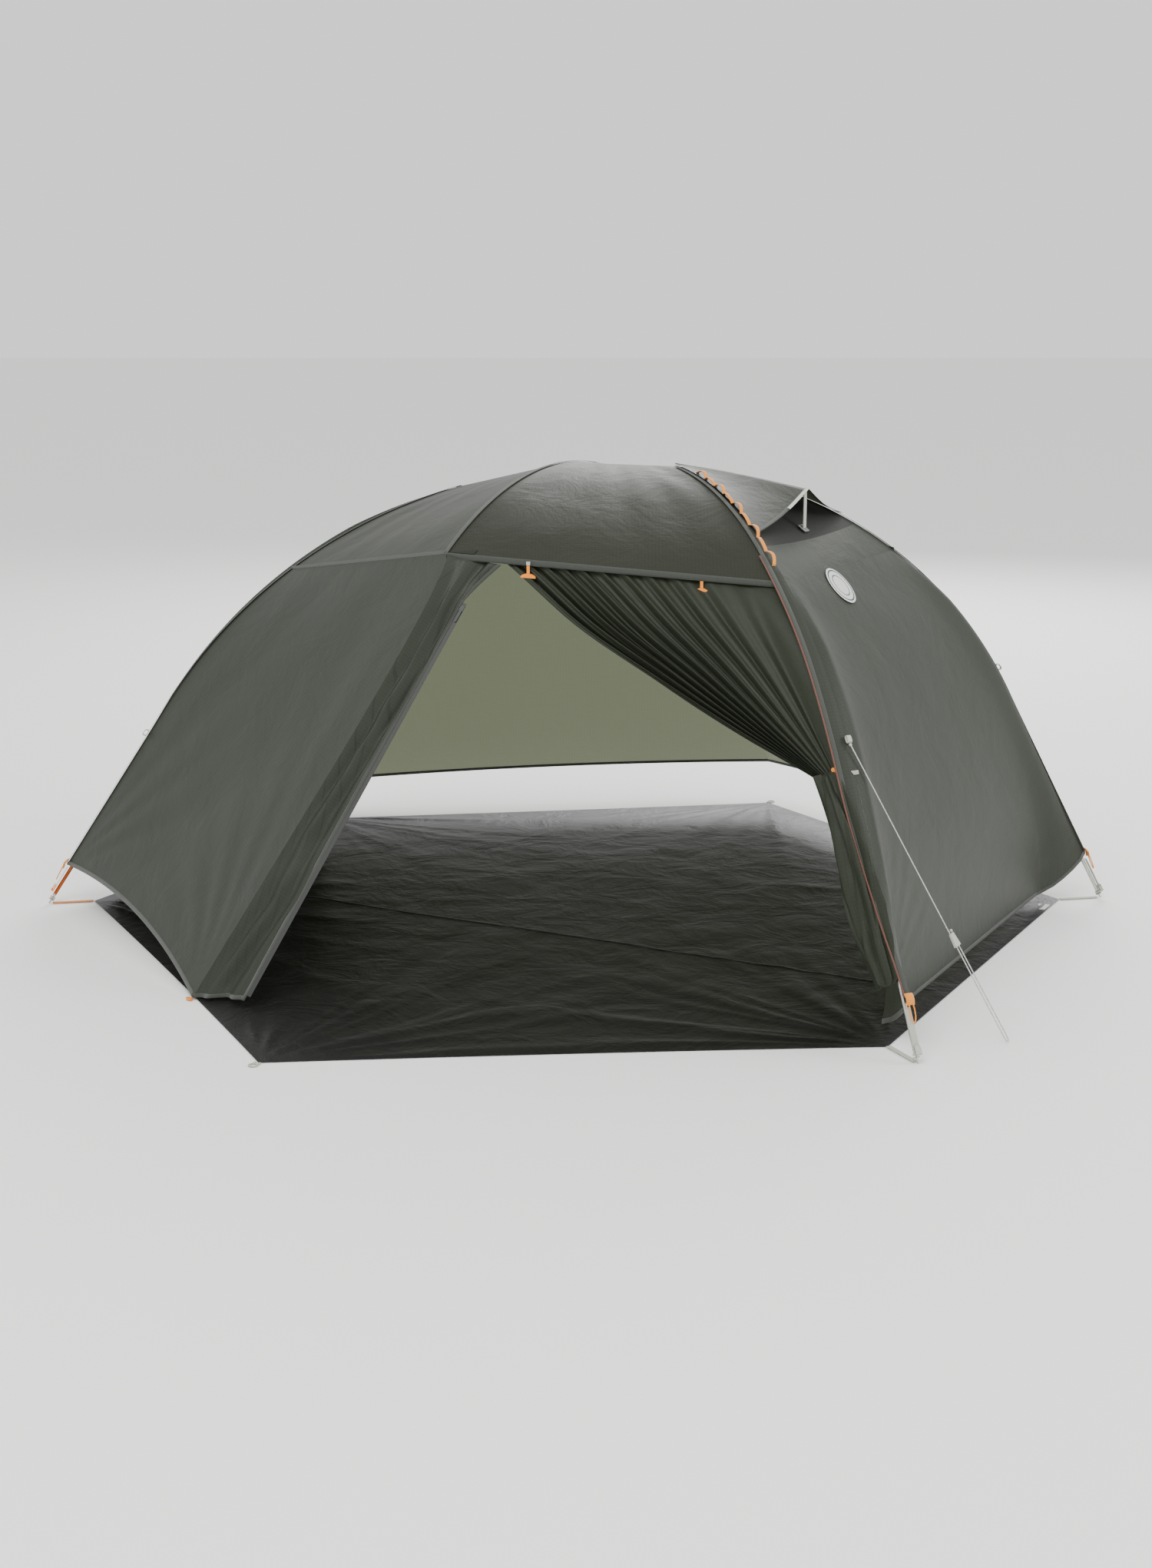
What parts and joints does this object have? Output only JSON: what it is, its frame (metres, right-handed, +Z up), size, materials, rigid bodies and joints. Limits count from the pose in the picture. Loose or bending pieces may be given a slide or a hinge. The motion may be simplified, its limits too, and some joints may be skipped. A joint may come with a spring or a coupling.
{
  "type": "backpacking tent",
  "caption": "Free-standing hub-pole backpacking tent pitched with rainfly, bent poles and a six-sided footprint; front door tied open, vent hood propped, one guy line.",
  "frame": {"origin": "on the ground, under the middle of the ridge and of the footprint", "axes": "+X to the head end (wider floor end, vent hood and badge), -Y to the open door, +Z up; longest along Y between the two stake loops"},
  "size_m": [2.5495, 2.778, 1.1568],
  "materials": {
    "fly_olive": "silicone-coated ripstop nylon, dark olive",
    "fly_sage": "silicone-coated ripstop nylon, grey olive",
    "door_cloth": "silicone-coated ripstop nylon, gathered",
    "binding": "dark woven binding tape",
    "footprint_cloth": "coated taffeta, near black, low sheen",
    "mesh": "black no-see-um mesh",
    "pole_silver": "clear anodised tube",
    "pole_bronze": "orange-bronze anodised tube",
    "raw_aluminium": "turned aluminium",
    "elastic_cord": "braided elastic cord",
    "hub_plastic": "moulded nylon",
    "zip_coil": "nylon coil zip",
    "zip_metal": "black zip slider with a cord pull",
    "orange_plastic": "moulded acetal, orange",
    "grey_plastic": "moulded acetal, pale grey",
    "white_webbing": "pale grey woven webbing",
    "orange_webbing": "orange woven webbing",
    "guy_cord": "braided pale grey guy cord",
    "badge_print": null,
    "label_cloth": "sewn label with no text",
    "hook_tape": "hook-and-loop patch"
  },
  "bodies": {
    "tent": {"badge": "badge_print", "brow_clip": "hub_plastic", "brow_end_caps": "hub_plastic", "brow_patches": "binding", "brow_pole": "pole_silver", "care_label": "label_cloth", "corner_buckles_foot": "orange_plastic", "corner_buckles_head": "grey_plastic", "corner_eyelets": "white_webbing", "corner_straps": "white_webbing", "daisy_chain": "orange_webbing", "door_band": "binding", "door_bundle": "door_cloth", "door_zip": "zip_coil", "end_wall_foot": "fly_sage", "end_wall_head": "fly_sage", "floor_straps_foot": "orange_webbing", "floor_straps_head": "white_webbing", "footprint": "footprint_cloth", "front_door": "door_cloth", "front_fixed_panel": "fly_sage", "guy_knots": "guy_cord", "guy_line": "guy_cord", "guy_loops": "white_webbing", "hem_clips": "orange_plastic", "hub_foot": "hub_plastic", "hub_head": "hub_plastic", "leg_lower_foot_front": "pole_bronze", "leg_lower_foot_rear": "pole_bronze", "leg_lower_head_front": "pole_silver", "leg_lower_head_rear": "pole_silver", "leg_upper_foot_front": "pole_silver", "leg_upper_foot_rear": "pole_silver", "leg_upper_head_front": "pole_silver", "leg_upper_head_rear": "pole_silver", "pole_ferrules": "raw_aluminium", "pole_tips": "raw_aluminium", "rear_panel": "fly_sage", "ridge_pole": "pole_silver", "roof_front_foot": "fly_sage", "roof_front_head": "fly_olive", "roof_rear": "fly_olive", "shock_cords": "elastic_cord", "stake_loops": "raw_aluminium", "storm_flap": "fly_sage", "toggle_straps": "white_webbing", "vent_hood": "fly_olive", "vent_mesh": "mesh", "vent_patch": "hook_tape"},
    "zip_slider_body": {"zip_slider": "zip_metal"},
    "toggle_inner_body": {"door_toggle_inner": "orange_plastic"},
    "toggle_outer_body": {"door_toggle_outer": "orange_plastic"},
    "tie_toggle_body": {"tie_toggle": "orange_plastic"},
    "vent_strut_body": {"vent_strut": "hub_plastic"},
    "tensioner_body": {"guy_tensioner": "grey_plastic"},
    "lever_head_front_body": {"buckle_lever_head_front": "grey_plastic"},
    "lever_head_rear_body": {"buckle_lever_head_rear": "grey_plastic"},
    "lever_foot_front_body": {"buckle_lever_foot_front": "orange_plastic"},
    "lever_foot_rear_body": {"buckle_lever_foot_rear": "orange_plastic"}
  },
  "joints": [
    {"name": "zip_travel", "type": "slide", "parent": "tent", "child": "zip_slider_body", "axis": [-0.2797, -0.4802, -0.8313], "range_m": [0, 0.92]},
    {"name": "toggle_inner_swing", "type": "hinge", "parent": "tent", "child": "toggle_inner_body", "pos_m": [0.18889, -0.53778, 0.95647], "axis": [0.9541, 0.2933, -0.06], "range_deg": [-70, 6]},
    {"name": "toggle_outer_swing", "type": "hinge", "parent": "tent", "child": "toggle_outer_body", "pos_m": [0.56761, -0.42106, 0.93267], "axis": [0.9541, 0.2933, -0.06], "range_deg": [-70, 6]},
    {"name": "tie_toggle_turn", "type": "hinge", "parent": "tent", "child": "tie_toggle_body", "pos_m": [0.95447, -0.57095, 0.55457], "axis": [0, 1, 0], "range_deg": [-80, 80]},
    {"name": "vent_strut_fold", "type": "hinge", "parent": "tent", "child": "vent_strut_body", "pos_m": [0.64308, 0, 1.01749], "axis": [0, 1, 0], "range_deg": [0, 112], "deforming": ["vent_hood"]},
    {"name": "tensioner_slide", "type": "slide", "parent": "tent", "child": "tensioner_body", "axis": [0.5074, 0.0255, -0.8613], "range_m": [0, 0.025]},
    {"name": "lever_head_front_flip", "type": "hinge", "parent": "tent", "child": "lever_head_front_body", "pos_m": [1.21314, -0.73372, 0.02295], "axis": [0.6264, 0.7795, 0], "range_deg": [0, 70]},
    {"name": "lever_head_rear_flip", "type": "hinge", "parent": "tent", "child": "lever_head_rear_body", "pos_m": [1.21314, 0.73372, 0.02295], "axis": [-0.6264, 0.7795, 0], "range_deg": [0, 70]},
    {"name": "lever_foot_front_flip", "type": "hinge", "parent": "tent", "child": "lever_foot_front_body", "pos_m": [-1.20322, -0.59884, 0.03861], "axis": [0.5526, -0.8335, 0], "range_deg": [0, 70]},
    {"name": "lever_foot_rear_flip", "type": "hinge", "parent": "tent", "child": "lever_foot_rear_body", "pos_m": [-1.20322, 0.59884, 0.03861], "axis": [-0.5526, -0.8335, 0], "range_deg": [0, 70]}
  ]
}
